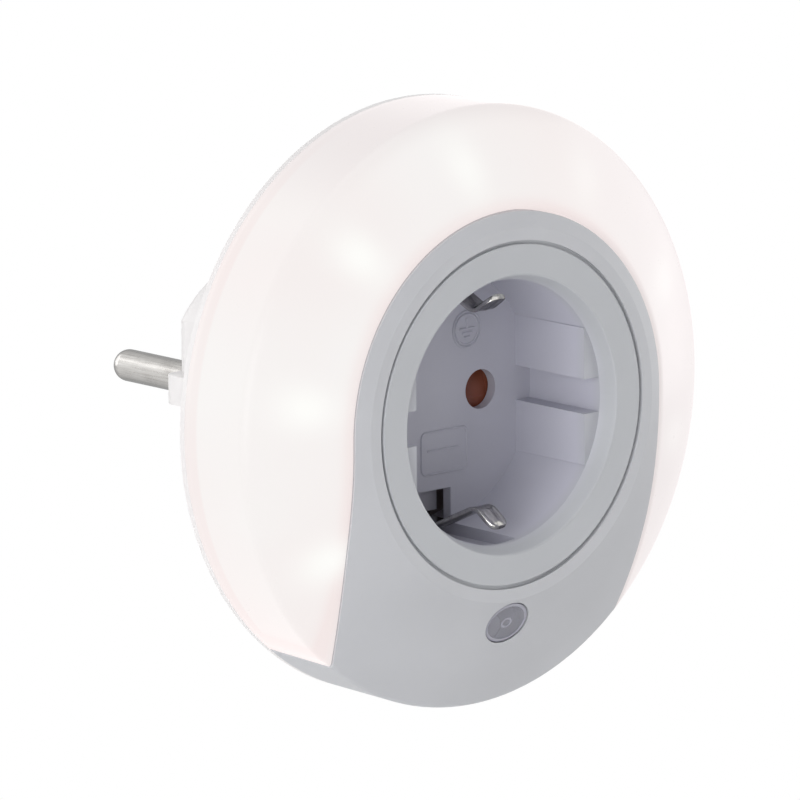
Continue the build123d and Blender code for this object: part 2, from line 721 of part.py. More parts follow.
with BuildPart() as light_sensor:
    with BuildSketch(FRONT.offset(-sensor_front - sensor_t)):
        with Locations((0, -window_drop)):
            Circle(sensor_r)
    extrude(amount=sensor_t)
    fillet(light_sensor.faces().sort_by(Axis.Y)[0].edges(), radius=sensor_r * 0.6)
    with BuildSketch(FRONT.offset(-board_depth)):
        with Locations((-lead_pitch / 2, -window_drop), (lead_pitch / 2, -window_drop)):
            Circle(lead_r)
    extrude(amount=board_depth - sensor_front - sensor_t / 2)
light_sensor.part.label = "light_sensor"

with BuildPart() as sensor_window:
    add(dome_solid(window_sink, rim_back))
    with BuildSketch(FRONT.offset(-window_seat - window_flange_t)):
        with Locations((0, -window_drop)):
            Ellipse(window_a, window_b)
    extrude(amount=window_seat + window_flange_t, mode=Mode.INTERSECT)
    with BuildSketch(FRONT.offset(-window_seat - window_flange_t)):
        with Locations((0, -window_drop)):
            Ellipse(window_a + window_flange, window_b + window_flange)
    extrude(amount=window_flange_t)
sensor_window.part.label = "sensor_window"


# ------------------------------------------------------------------ components behind the board
def on_board(angle):
    """Sketch plane on the board's back, at an angle in the row of components, x along the radius."""
    a = radians(angle)
    spot = FRONT.from_local_coords((component_r * cos(a), component_r * sin(a), -board_back))
    return Plane(origin=spot, x_dir=(cos(a), 0, sin(a)), z_dir=(0, 1, 0))


with BuildPart() as dropper_capacitor:
    with BuildSketch(on_board(20)):
        RectangleRounded(5.5, 12.5, 0.6)
    extrude(amount=5.6)
dropper_capacitor.part.label = "dropper_capacitor"

with BuildPart() as smoothing_capacitor:
    can = on_board(68)
    with BuildSketch(Plane(origin=can.from_local_coords((0, -5, 2.5)), z_dir=can.y_dir)):
        Circle(2.5)
    extrude(amount=10)
    fillet(smoothing_capacitor.edges(), radius=0.4)
smoothing_capacitor.part.label = "smoothing_capacitor"

with BuildPart() as bridge_rectifier:
    with BuildSketch(on_board(112)):
        Rectangle(3.9, 4.8)
    extrude(amount=2.4)
bridge_rectifier.part.label = "bridge_rectifier"

with BuildPart() as resistors:
    for angle in (135, 150, 165):
        body = on_board(angle)
        with BuildSketch(Plane(origin=body.from_local_coords((-3.2, 0, 1.2)), z_dir=body.x_dir)):
            Circle(1.2)
        extrude(amount=6.4)
resistors.part.label = "resistors"

with BuildPart() as fuse:
    body = on_board(212)
    with BuildSketch(Plane(origin=body.from_local_coords((0, -4, 1.5)), z_dir=body.y_dir)):
        Circle(1.5)
    extrude(amount=8)
fuse.part.label = "fuse"


# ------------------------------------------------------------------ wires from the contacts to the board
def board_wire(side, name):
    """Insulated wire from a tail plate's edge, forward past the carrier, to the board's back."""
    solder_x = side * (pin_x + plate_w / 2 - 2 * wire_r)
    height = -(socket_rise + plate_h) / 2 + 2 * wire_r
    turn_x = side * (carrier_r + wire_r + 2 * screw_gap)
    run_x = side * (tube_r + wire_r + assembly_gap)
    pad_x = side * (board_in_r + 4 * wire_r)
    points = [
        FRONT.from_local_coords((x, height, -depth))
        for x, depth in (
            (solder_x, plate_depth - wire_r - screw_gap),
            (turn_x, plate_depth - wire_r - screw_gap),
            (run_x, skirt_back + wire_r),
            (run_x, board_back + 4 * wire_bend_r),
            (pad_x, board_back + 2 * wire_bend_r),
            (pad_x, board_back),
        )
    ]
    with BuildPart() as wire:
        with BuildLine():
            route = FilletPolyline(*points, radius=wire_bend_r)
        with BuildSketch(Plane(origin=route @ 0, z_dir=route % 0)):
            Circle(wire_r)
        sweep()
    wire.part.label = name
    return wire


live_wire = board_wire(-1, "live_wire")
neutral_wire = board_wire(1, "neutral_wire")

# ------------------------------------------------------------------ export
os.makedirs("parts", exist_ok=True)
pieces = [
    front_panel,
    diffuser,
    socket_insert,
    shutter,
    shutter_spring,
    contact_carrier,
    live_contact,
    neutral_contact,
    live_pin,
    neutral_pin,
    upper_earth_clip,
    lower_earth_clip,
    earth_strap,
    upper_plug_earth,
    lower_plug_earth,
    rear_housing,
    case_screws,
    reflector,
    led_board,
    leds,
    light_sensor,
    sensor_window,
    dropper_capacitor,
    smoothing_capacitor,
    bridge_rectifier,
    resistors,
    fuse,
    live_wire,
    neutral_wire,
]
for piece in pieces:
    export_step(piece.part, f"parts/{piece.part.label}.step")
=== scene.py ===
import logging
from dataclasses import dataclass, field
from enum import Enum
from functools import cache
from math import cos, pi, radians, sin
from typing import Callable, Iterable, Optional, Sequence, Union

import bpy
import numpy as np
from mathutils import Matrix, Vector


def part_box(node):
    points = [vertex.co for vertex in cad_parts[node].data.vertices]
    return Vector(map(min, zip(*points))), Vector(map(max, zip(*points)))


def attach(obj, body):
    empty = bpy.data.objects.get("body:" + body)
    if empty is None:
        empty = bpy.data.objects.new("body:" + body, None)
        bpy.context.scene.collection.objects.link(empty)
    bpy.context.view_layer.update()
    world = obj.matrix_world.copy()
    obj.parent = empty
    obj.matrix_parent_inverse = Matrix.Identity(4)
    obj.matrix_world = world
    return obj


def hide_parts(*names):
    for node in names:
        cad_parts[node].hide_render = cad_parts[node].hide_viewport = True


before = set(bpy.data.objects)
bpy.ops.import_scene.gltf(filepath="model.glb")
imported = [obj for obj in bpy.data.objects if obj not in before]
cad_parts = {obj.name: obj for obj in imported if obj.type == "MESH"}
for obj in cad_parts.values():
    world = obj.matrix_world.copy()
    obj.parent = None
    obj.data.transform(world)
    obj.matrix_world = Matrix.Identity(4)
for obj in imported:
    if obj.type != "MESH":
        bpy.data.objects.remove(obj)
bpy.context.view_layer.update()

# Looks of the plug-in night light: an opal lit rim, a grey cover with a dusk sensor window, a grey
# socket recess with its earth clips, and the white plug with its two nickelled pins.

log = logging.getLogger("night_light")
MM = 0.001
SHARP_TURN = radians(40)  # a larger turn between faces is a sharp edge
Piece, Mesh, Material = bpy.types.Object, bpy.types.Mesh, bpy.types.Material
Node, NodeTree, Socket = bpy.types.Node, bpy.types.NodeTree, bpy.types.NodeSocket
Array = np.ndarray
Colour = tuple[float, float, float, float]
Span = tuple[float, float]
Surface = Callable[[Array, Array], Array]
Input = Union[float, tuple, Socket]
WHITE: Colour = (1.0, 1.0, 1.0, 1.0)
VALUE = "NodeSocketFloat"  # socket type of a plain number


# ---- where things are
@dataclass(frozen=True)
class Datum:
    """Places of the light in the shared frame, read from the boxes of its nodes, in mm."""

    front_y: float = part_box("socket_insert")[0][1] / MM
    axis_z: float = (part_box("socket_insert")[0][2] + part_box("socket_insert")[1][2]) / 2 / MM

    def place(self, x: Array, height: Array, depth: Array) -> Array:
        """Turn front coordinates into frame coordinates.

        Args:
            x: distances to the right of the socket axis, in mm.
            height: heights above the socket axis, in mm.
            depth: depths behind the front face, in mm.

        Returns:
            Points in metres, one axis more than the inputs: x, depth + front, height + axis.
        """
        x, height, depth = np.broadcast_arrays(x, height, depth)
        return np.stack([x, depth + self.front_y, height + self.axis_z], axis=-1) * MM


DATUM = Datum()


def srgb(red: float, green: float, blue: float) -> Colour:
    """Linear colour of an 8-bit display colour, by the two-part display curve.

    Args:
        red: red, 0 to 255.
        green: green, 0 to 255.
        blue: blue, 0 to 255.

    Returns:
        The linear red, green and blue, 0 to 1, and a full alpha.
    """
    toe, slope, lift, power = 0.04045, 12.92, 0.055, 2.4
    c = np.array([red, green, blue]) / 255
    linear = np.where(c <= toe, c / slope, ((c + lift) / (1 + lift)) ** power)
    return (*(float(v) for v in linear), 1.0)


# ---- meshes from arrays
def add_object(name: str, mesh: Mesh) -> Piece:
    """Put a mesh into the scene as an object at the origin.

    Args:
        name: the piece's name.
        mesh: its mesh, already in place.

    Returns:
        The new object.
    """
    piece = bpy.data.objects.new(name, mesh)
    bpy.context.scene.collection.objects.link(piece)
    return piece


def mesh_of(
    name: str, points: Array, quads: Array, caps: Sequence[Array] = ()
) -> Mesh:
    """Make a smooth mesh from whole arrays of points and quads, with optional many-sided caps.

    Args:
        name: the mesh's name.
        points: points in metres, one row each.
        quads: corner numbers, four to a row.
        caps: corner numbers of each cap.

    Returns:
        The mesh, its edges sharp where faces turn by more than SHARP_TURN.
    """
    mesh = bpy.data.meshes.new(name)
    loops = np.concatenate([quads.ravel(), *caps])
    sizes = np.array([4] * len(quads) + [len(cap) for cap in caps])
    mesh.vertices.add(len(points))
    mesh.vertices.foreach_set("co", np.ascontiguousarray(points, dtype=np.float32).ravel())
    mesh.loops.add(len(loops))
    mesh.loops.foreach_set("vertex_index", loops.astype(np.int32))
    mesh.polygons.add(len(sizes))
    mesh.polygons.foreach_set("loop_start", (np.cumsum(sizes) - sizes).astype(np.int32))
    mesh.polygons.foreach_set("use_smooth", np.ones(len(sizes), dtype=bool))
    mesh.update(calc_edges=True)
    mesh.validate()
    mesh.set_sharp_from_angle(angle=SHARP_TURN)
    return mesh


def grid_quads(rows: int, columns: int, loop: bool = False) -> Array:
    """Quads over a grid of points numbered row by row, each row closing on itself.

    Args:
        rows: number of rows.
        columns: number of columns.
        loop: whether the last row joins the first.

    Returns:
        Corner numbers, four to a row, each quad between neighbouring rows and columns.
    """
    i = np.arange(rows if loop else rows - 1)[:, None]
    j = np.arange(columns)[None, :]
    a, b = i * columns, ((i + 1) % rows) * columns
    k = (j + 1) % columns
    return np.stack([a + j, a + k, b + k, b + j], axis=-1).reshape(-1, 4)


def end_caps(rows: int, columns: int) -> list[Array]:
    """Caps over the first and the last row of a grid, turned away from each other."""
    row = np.arange(columns)
    return [row[::-1], (rows - 1) * columns + row]


def outward(mesh: Mesh) -> Mesh:
    """Turn a closed mesh the right way out, told by the sign of the volume under its faces.

    Args:
        mesh: a closed mesh.

    Returns:
        The same mesh, with its faces flipped where the signed volume was negative.
    """
    mesh.calc_loop_triangles()
    corners = np.empty(len(mesh.loop_triangles) * 3, dtype=np.int32)
    mesh.loop_triangles.foreach_get("vertices", corners)
    points = np.empty(len(mesh.vertices) * 3, dtype=np.float32)
    mesh.vertices.foreach_get("co", points)
    a, b, c = points.reshape(-1, 3)[corners.reshape(-1, 3)].transpose(1, 0, 2)
    if np.einsum("ij,ij->", a, np.cross(b, c)) < 0:
        mesh.flip_normals()
    return mesh


def circle(steps: int) -> Array:
    """Points round a unit circle, the first not repeated, two numbers to a row."""
    t = np.linspace(0, 2 * pi, steps, endpoint=False)
    return np.stack([np.cos(t), np.sin(t)], axis=1)


def rounded_route(
    corners: Array, radius: float, steps: int = 9, closed: bool = False
) -> Array:
    """Points along straight runs joined by circular arcs.

    At each corner the arc touches both runs at a distance radius * tan(turn / 2) from it, and its
    points are spread by angle between the two touching points about the arc's centre.

    Args:
        corners: corner points, two numbers to a row.
        radius: radius of every arc.
        steps: points on each arc.
        closed: whether the route returns to its first corner.

    Returns:
        The points of the route, two numbers to a row.
    """
    corners = np.asarray(corners, dtype=float)
    before = np.roll(corners, 1, axis=0)
    after = np.roll(corners, -1, axis=0)
    into = (corners - before) / np.linalg.norm(corners - before, axis=1, keepdims=True)
    out = (after - corners) / np.linalg.norm(after - corners, axis=1, keepdims=True)
    bend = into[:, 0] * out[:, 1] - into[:, 1] * out[:, 0]
    turn = np.arctan2(bend, np.sum(into * out, axis=1))
    reach = radius * np.tan(np.abs(turn) / 2)
    side = np.sign(turn)[:, None] * np.stack([-into[:, 1], into[:, 0]], axis=1)
    centre = (corners - into * reach[:, None] + side * radius)[:, None, :]
    share = np.linspace(0, 1, steps)[None, :, None] * turn[:, None, None]
    arm = -side[:, None, :] * radius
    square = np.stack([-arm[..., 1], arm[..., 0]], axis=-1)
    arcs = centre + arm * np.cos(share) + square * np.sin(share)
    if closed:
        return arcs.reshape(-1, 2)
    return np.concatenate([corners[:1], arcs[1:-1].reshape(-1, 2), corners[-1:]])


def even_route(points: Array, count: int) -> Array:
    """Spread points evenly along a route, by its running length.

    Args:
        points: points of the route.
        count: number of points wanted.

    Returns:
        The evenly spread points.
    """
    steps = np.linalg.norm(np.diff(points, axis=0), axis=1)
    length = np.concatenate([[0], np.cumsum(steps)])
    wanted = np.linspace(0, length[-1], count)
    return np.stack([np.interp(wanted, length, column) for column in points.T], axis=1)


def route_sides(route: Array, closed: bool = False) -> Array:
    """Unit vectors to the left of a flat route, square to its running direction.

    Args:
        route: points of the route, two numbers to a row.
        closed: whether it returns to its first point.

    Returns:
        One unit vector for each point.
    """
    if closed:
        run = np.roll(route, -1, axis=0) - np.roll(route, 1, axis=0)
    else:
        run = np.gradient(route, axis=0)
    run = run / np.linalg.norm(run, axis=1, keepdims=True)
    return np.stack([-run[:, 1], run[:, 0]], axis=1)


def lathe(name: str, section: Array, steps: int) -> Mesh:
    """Turn a closed section round the socket axis.

    Args:
        name: the mesh's name.
        section: radius and depth of its points, in mm.
        steps: number of places round the axis.

    Returns:
        The ring's mesh.
    """
    across, up = circle(steps).T[:, :, None]
    points = DATUM.place(section[:, 0] * across, section[:, 0] * up, section[:, 1])
    return mesh_of(name, points.reshape(-1, 3), grid_quads(steps, len(section), loop=True))


@dataclass(frozen=True)
class Bead:
    """Half-round line standing proud of a surface, in mm."""

    width: float
    height: float
    dip: float = 0.02  # how far its feet go into the surface
    steps: int = 9

    def along(
        self, route: Array, closed: bool, surface: Surface
    ) -> tuple[Array, Array, list[Array]]:
        """A bead along a flat route.

        The bead's section is half an ellipse: across it runs width/2 * cos(t), and out of the
        surface height * sin(t), for t from 0 to pi; its feet dip into the surface.

        Args:
            route: points of the route, x and height, in mm.
            closed: whether the route is a ring.
            surface: gives the surface's depth at x and height.

        Returns:
            The bead's points in metres, its quads and its end caps.
        """
        turn = np.linspace(0, pi, self.steps)
        reach = (self.width / 2 * np.cos(turn))[None, :, None]
        flat = route[:, None, :] + route_sides(route, closed)[:, None, :] * reach
        x, height = flat[..., 0], flat[..., 1]
        points = DATUM.place(x, height, surface(x, height) + self.dip - self.height * np.sin(turn))
        quads = grid_quads(len(route), self.steps, loop=closed)
        return points.reshape(-1, 3), quads, [] if closed else end_caps(len(route), self.steps)

    def join(
        self, name: str, routes: Sequence[tuple[Array, bool]], surface: Surface
    ) -> Piece:
        """Join beads along several routes into one piece.

        Args:
            name: the piece's name.
            routes: each bead's route and whether it is a ring.
            surface: gives the surface's depth at x and height.

        Returns:
            The piece.
        """
        points, quads, caps = zip(*(self.along(*route, surface) for route in routes))
        starts = np.cumsum([0, *(len(bead) for bead in points[:-1])])
        all_quads = np.concatenate([bead + start for bead, start in zip(quads, starts)])
        all_caps = [cap + start for bead, start in zip(caps, starts) for cap in bead]
        return add_object(name, mesh_of(name, np.concatenate(points), all_quads, all_caps))


# ---- node trees
def emptied_tree(owner: Union[Material, bpy.types.World]) -> NodeTree:
    """Give a material or world an empty node tree.

    Args:
        owner: the material or world.

    Returns:
        Its tree.
    """
    owner.use_nodes = True
    owner.node_tree.nodes.clear()
    return owner.node_tree


class Nodes:
    """Short hand for building one node tree."""

    def __init__(self, tree: NodeTree) -> None:
        """Keep the tree that nodes are added to."""
        self.tree = tree

    def fill(self, node: Node, inputs: dict[Union[str, int], Input]) -> None:
        """Set or link a node's inputs.

        Args:
            node: the node.
            inputs: values or sockets for its inputs, by name or number.
        """
        for key, value in inputs.items():
            if isinstance(value, Socket):
                self.tree.links.new(value, node.inputs[key])
            else:
                node.inputs[key].default_value = value

    def add(self, kind: str, inputs: Optional[dict] = None, **settings: object) -> Node:
        """Add a node.

        Args:
            kind: the node's type name, without its ShaderNode prefix.
            inputs: values or sockets for its inputs, by name or number.
            settings: attributes set on the node first.

        Returns:
            The new node.
        """
        node = self.tree.nodes.new("ShaderNode" + kind)
        for key, value in settings.items():
            setattr(node, key, value)
        self.fill(node, inputs or {})
        return node

    def math(self, operation: str, *values: Input, clamp: bool = False) -> Socket:
        """Add a Math node and return its output, held between 0 and 1 where clamp is set."""
        inputs = dict(enumerate(values))
        return self.add("Math", inputs, operation=operation, use_clamp=clamp).outputs[0]

    def ramp(
        self, value: Input, low: Input, high: Input, ends: Span = (0.0, 1.0), smooth: bool = False
    ) -> Socket:
        """Map a value from one span to another and hold it there.

        Args:
            value: the value.
            low: where the ramp starts.
            high: where it ends.
            ends: what it gives at its start and end.
            smooth: whether it eases in and out.

        Returns:
            The mapped value.
        """
        spans = {"From Min": low, "From Max": high, "To Min": ends[0], "To Max": ends[1]}
        kind = "SMOOTHSTEP" if smooth else "LINEAR"
        node = self.add("MapRange", {"Value": value, **spans}, interpolation_type=kind)
        return node.outputs["Result"]

    def bell(self, value: Input, middle: Input, spread: Input) -> Socket:
        """Bell curve exp(-((value - middle) / spread)^2).

        Args:
            value: the value.
            middle: where the curve is 1.
            spread: how far from there it falls to 1/e.

        Returns:
            The height of the curve.
        """
        off = self.math("DIVIDE", self.math("SUBTRACT", value, middle), spread)
        return self.math("EXPONENT", self.math("MULTIPLY", self.math("POWER", off, 2.0), -1.0))

    def blend(self, share: Input, first: Input, second: Input) -> Socket:
        """Blend two colours, the second where share is 1."""
        colours = {"Factor": share, "A": first, "B": second}
        return self.add("Mix", colours, data_type="RGBA").outputs["Result"]

    def noise(self, where: Input, scale: Input, **more: float) -> Socket:
        """Noise value at a place; more sets Detail and Roughness."""
        return self.add("TexNoise", {"Vector": where, "Scale": scale, **more}).outputs["Fac"]

    def seen_directly(self) -> Socket:
        """Tell what the camera sees, straight, mirrored or through glass.

        Returns:
            A mask that is 1 there.
        """
        path = self.add("LightPath").outputs
        through = self.math("MAXIMUM", path["Is Glossy Ray"], path["Is Transmission Ray"])
        return self.math("MAXIMUM", path["Is Camera Ray"], through)


class Group(Nodes):
    """Builder of one node group with named inputs and outputs."""

    def __init__(self, name: str, inputs: dict[str, Input], outputs: dict[str, str]) -> None:
        """Start the group.

        Args:
            name: the group's name.
            inputs: default of each input: a number, three numbers (vector) or four (colour).
            outputs: socket type of each output.
        """
        super().__init__(bpy.data.node_groups.new(name, "ShaderNodeTree"))
        kinds = {3: "NodeSocketVector", 4: "NodeSocketColor"}
        for key, value in inputs.items():
            kind = kinds[len(value)] if isinstance(value, tuple) else VALUE
            socket = self.tree.interface.new_socket(key, in_out="INPUT", socket_type=kind)
            socket.default_value = value
        for key, kind in outputs.items():
            self.tree.interface.new_socket(key, in_out="OUTPUT", socket_type=kind)
        self.given = self.tree.nodes.new("NodeGroupInput").outputs
        self.end = self.tree.nodes.new("NodeGroupOutput")


# ---- shared effects
SKIN_OUTPUTS = {"Colour": "NodeSocketColor", "Roughness": VALUE, "Height": VALUE}
NOWHERE = (0.0, 0.0, 0.0)


@cache
def moulded_skin_group() -> NodeTree:
    """Spark-eroded grain of moulded plastic, with faint flow clouding of its colour.

    Returns:
        A group whose colour wanders between two tints on broad noise, whose height is fine grain
        over a faint orange peel, and whose roughness follows both.
    """
    cloud_span = (0.35, 0.65)
    peel_scale = 0.12  # of the grain's
    grain_part, peel_part = 0.6, 0.4
    n = Group(
        "MouldedSkin",
        {"Vector": NOWHERE, "Colour": (0.5, 0.5, 0.5, 1.0), "Cloud": (0.5, 0.5, 0.5, 1.0),
         "Grain": 5200.0, "Flow": 55.0, "Smooth": 0.35, "Rough": 0.5},
        SKIN_OUTPUTS,
    )
    where = n.given["Vector"]
    flow = n.noise(where, n.given["Flow"], Detail=3.0, Roughness=0.45)
    grain = n.noise(where, n.given["Grain"], Detail=2.0)
    peel = n.noise(where, n.math("MULTIPLY", n.given["Grain"], peel_scale), Detail=1.0)
    both = n.math("MULTIPLY_ADD", grain, grain_part, n.math("MULTIPLY", peel, peel_part))
    spread = n.math("SUBTRACT", n.given["Rough"], n.given["Smooth"])
    n.fill(n.end, {
        "Colour": n.blend(n.ramp(flow, *cloud_span), n.given["Colour"], n.given["Cloud"]),
        "Roughness": n.math("MULTIPLY_ADD", both, spread, n.given["Smooth"]),
        "Height": both,
    })
    return n.tree


@cache
def drawn_metal_group() -> NodeTree:
    """Fine lines of a turned or drawn metal surface.

    Returns:
        A group whose lines are noise squeezed along the working direction by the Stretch vector,
        with cloudy handling marks over them, put out as colour, roughness and height.
    """
    mark_scale = 420.0
    line_part, mark_part = 0.7, 0.3
    tint_span = (0.38, 0.62)
    n = Group(
        "DrawnMetal",
        {"Vector": NOWHERE, "Light": (0.7, 0.7, 0.7, 1.0), "Dark": (0.4, 0.4, 0.4, 1.0),
         "Stretch": (1.0, 1.0, 1.0), "Lines": 2500.0, "Smooth": 0.18, "Rough": 0.4},
        SKIN_OUTPUTS,
    )
    where = n.given["Vector"]
    squeezed = n.add("VectorMath", {0: where, 1: n.given["Stretch"]}, operation="MULTIPLY")
    lines = n.noise(squeezed.outputs[0], n.given["Lines"], Detail=4.0, Roughness=0.6)
    marks = n.noise(where, mark_scale, Detail=3.0)
    share = n.math("MULTIPLY_ADD", lines, line_part, n.math("MULTIPLY", marks, mark_part))
    spread = n.math("SUBTRACT", n.given["Rough"], n.given["Smooth"])
    n.fill(n.end, {
        "Colour": n.blend(n.ramp(share, *tint_span), n.given["Dark"], n.given["Light"]),
        "Roughness": n.math("MULTIPLY_ADD", share, spread, n.given["Smooth"]),
        "Height": lines,
    })
    return n.tree


@dataclass(frozen=True)
class GlowPlan:
    """Where the light shows in the opal rim: metres from the socket axis or behind the front."""

    spacing: float = radians(37.0)  # between neighbouring LEDs
    turn: float = radians(7.5)  # of the LED nearest the top
    circle: float = 0.0368  # radius of the ring of LEDs
    spread: float = 0.0042  # reach of a glow along the radius
    focus: float = 5.0  # the higher, the shorter a glow along the ring
    opening: float = 0.0304  # distance of the painted shadow of the cover along the opening
    edge: float = 0.0013  # reach of that painted shadow
    band: float = 0.019  # depth where the rear band starts
    band_step: float = 0.0006
    left: Span = (0.012, -0.012)  # over this x the glow comes to its full strength
    weak_glow: float = 0.25  # share of a glow right of it
    low: Span = (-0.012, -0.038)  # heights over which the blush of the bottom rises
    # strength of the painted shadow of the cover
    cover_shadow: float = 0.7
    rear_blush: float = 0.5
    low_blush: float = 0.7
    right: Span = (0.008, 0.040)  # x over which painted shade darkens the right-hand side
    wall: Span = (0.0065, 0.0105)  # depths over which the front turns into the rim wall
    top: Span = (0.030, 0.0445)  # heights over which painted shade darkens that wall


@cache
def lamp_glow_group() -> NodeTree:
    """Light of the ring of LEDs in the opal rim.

    The angle about the socket axis, counted from the top in steps of Spacing and turned by Turn,
    gives a bump at each whole step; a bell curve of the radius about Circle fades it. A painted
    shadow of the cover lies along the opening, whose distance is the length of (x, height) with
    heights below the axis taken as 0, and a blush rises towards the rear band and the bottom.

    Returns:
        A group that puts out the glow, 0 between the LEDs and 1 right over one, the painted shadow
        of the cover with the blush, and a painted shade, which rises towards the right-hand side
        and the top of the rim wall.
    """
    plan = GlowPlan()
    n = Group(
        "LampGlow",
        {"Vector": NOWHERE, "Axis Height": DATUM.axis_z * MM, "Front": DATUM.front_y * MM,
         "Spacing": plan.spacing, "Turn": plan.turn, "Circle": plan.circle, "Spread": plan.spread,
         "Focus": plan.focus, "Opening": plan.opening, "Edge": plan.edge, "Band": plan.band},
        {"Glow": VALUE, "Blush": VALUE, "Painted Shade": VALUE},
    )
    given = n.given
    parts = n.add("SeparateXYZ", {"Vector": given["Vector"]}).outputs
    x = parts["X"]
    height = n.math("SUBTRACT", parts["Z"], given["Axis Height"])
    depth = n.math("SUBTRACT", parts["Y"], given["Front"])
    turned = n.math("ADD", n.math("ARCTAN2", x, height), given["Turn"])
    angle = n.math("MULTIPLY", n.math("DIVIDE", turned, given["Spacing"]), 2 * pi)
    wave = n.math("MULTIPLY_ADD", n.math("COSINE", angle), 0.5, 0.5)
    across = n.math("POWER", x, 2.0)
    radius = n.math("SQRT", n.math("ADD", across, n.math("POWER", height, 2.0)))
    ring = n.bell(radius, given["Circle"], given["Spread"])
    spots = n.math("MULTIPLY", n.math("POWER", wave, given["Focus"]), ring)
    side = n.ramp(x, *plan.left, ends=(plan.weak_glow, 1.0), smooth=True)

    # painted shadow of the cover along the opening, then a blush towards the rear band and the
    # bottom
    upper = n.math("POWER", n.math("MAXIMUM", height, 0.0), 2.0)
    opening = n.math("SQRT", n.math("ADD", across, upper))
    edge = n.bell(opening, given["Opening"], given["Edge"])
    band_end = n.math("ADD", given["Band"], plan.band_step)
    rear = n.ramp(depth, given["Band"], band_end, ends=(0.0, plan.rear_blush))
    low = n.ramp(height, *plan.low, ends=(0.0, plan.low_blush))
    blush = n.math("MULTIPLY_ADD", edge, plan.cover_shadow, rear)

    # painted shade: rises towards the right-hand side and the top of the rim wall
    right = n.ramp(x, *plan.right, smooth=True)
    wall = n.ramp(depth, *plan.wall, smooth=True)
    top = n.ramp(height, *plan.top, smooth=True)
    n.fill(n.end, {
        "Glow": n.math("MULTIPLY", spots, side),
        "Blush": n.math("ADD", blush, low, clamp=True),
        "Painted Shade": n.math("MAXIMUM", right, n.math("MULTIPLY", wall, top)),
    })
    return n.tree


# ---- finishes
class Coat(Nodes):
    """Builder of one material: its Principled shader and the Object coordinates it reads."""

    def __init__(self, name: str) -> None:
        """Start the material.

        Args:
            name: the material's name.
        """
        super().__init__(emptied_tree(bpy.data.materials.new(name)))
        self.shader = self.add("BsdfPrincipled")
        self.add("OutputMaterial", {"Surface": self.shader.outputs["BSDF"]})
        self.where = self.add("TexCoord").outputs["Object"]

    def effect(self, tree: NodeTree, **values: Input) -> bpy.types.NodeOutputs:
        """Put a shared effect into the material, with these inputs, and return its outputs."""
        return self.add("Group", {"Vector": self.where, **values}, node_tree=tree).outputs

    def surface(
        self, skin: bpy.types.NodeOutputs, relief: float, more: dict[str, Input]
    ) -> Node:
        """Feed an effect's colour, roughness and height into the shader.

        Args:
            skin: the effect's outputs.
            relief: relief of a full step of its height, in metres.
            more: the shader's other inputs, or ones that stand in for these.

        Returns:
            The bump node.
        """
        bump = self.add("Bump", {"Height": skin["Height"], "Distance": relief, "Strength": 1.0})
        fed = {"Base Color": skin["Colour"], "Roughness": skin["Roughness"],
               "Normal": bump.outputs["Normal"]}
        self.fill(self.shader, {**fed, **more})
        return bump


@dataclass(frozen=True)
class MouldedPlastic:
    """Injection-moulded plastic: two near tints, a grain and its gloss."""

    colour: Colour
    cloud: Colour
    grain: float = 5200.0
    relief: float = 0.000004
    smooth: float = 0.38
    rough: float = 0.52
    specular: float = 0.42
    painted_recess_light: Optional[Colour] = None  # painted light: colour of what lies deeper in the recess than the span below
    painted_recess_light_span: Span = (1.5, 4.5)  # mm behind the front face

    def build(self, coat: Coat) -> None:
        """Give the shader the moulded skin effect, with painted light deeper in the recess where it
        is given.

        Args:
            coat: builder of the material.
        """
        skin = coat.effect(moulded_skin_group(), Colour=self.colour, Cloud=self.cloud,
                           Grain=self.grain, Smooth=self.smooth, Rough=self.rough)
        more = {"Specular IOR Level": self.specular}
        # painted light: deeper in the recess the colour blends to the painted recess light
        if self.painted_recess_light:
            depth = coat.add("SeparateXYZ", {"Vector": coat.where}).outputs["Y"]
            painted_light_share = coat.ramp(depth, *((DATUM.front_y + end) * MM for end in self.painted_recess_light_span))
            more["Base Color"] = coat.blend(painted_light_share, skin["Colour"], self.painted_recess_light)
        coat.surface(skin, self.relief, more)


@dataclass(frozen=True)
class OpalPlastic:
    """Opal plastic lit from behind: its own white, and the light it lets through, with painted
    shade on it.
    """

    white: Colour
    blush: Colour
    light: Colour
    # emission where the blush and the painted shadow of the cover fall
    light_blush_and_shadow: Colour
    # painted shade: emission where the right-hand side and the top of the rim wall are shaded
    painted_shade: Colour
    spot: Colour
    grain: float = 3200.0
    flow: float = 32.0
    smooth: float = 0.24
    rough: float = 0.34
    specular: float = 0.12
    relief: float = 0.000002
    cloud_scale: float = 26.0
    cloud_span: Span = (0.4, 0.65)
    cloud_blush: float = 0.4
    soft_edge: float = 0.0018  # radius of the softened crest, in metres

    def build(self, coat: Coat) -> None:
        """Let the emission wander between a warm white and a faint blush, and rise over each LED;
        painted shade dims it on the right and atop the rim wall.

        Args:
            coat: builder of the material.
        """
        skin = coat.effect(moulded_skin_group(), Colour=self.white, Cloud=self.blush,
                           Grain=self.grain, Flow=self.flow, Smooth=self.smooth, Rough=self.rough)
        glow = coat.effect(lamp_glow_group())
        cloud = coat.noise(coat.where, self.cloud_scale, Detail=2.0, Roughness=0.4)
        clouds = coat.ramp(cloud, *self.cloud_span, ends=(0.0, self.cloud_blush))
        # the clouds, the blush and the painted shadow of the cover pull the emission towards a
        # pinker, dimmer light
        share = coat.math("ADD", clouds, glow["Blush"], clamp=True)
        through = coat.blend(share, self.light, self.light_blush_and_shadow)
        # painted shade darkens the emission towards the right-hand side and the top of the rim wall
        with_painted_shade = coat.blend(glow["Painted Shade"], through, self.painted_shade)
        bump = coat.surface(skin, self.relief, {
            "Emission Color": coat.blend(glow["Glow"], with_painted_shade, self.spot),
            "Emission Strength": 1.0,
            "Specular IOR Level": self.specular,
        })
        soft = coat.add("Bevel", {"Radius": self.soft_edge}, samples=6)
        coat.fill(bump, {"Normal": soft.outputs["Normal"]})


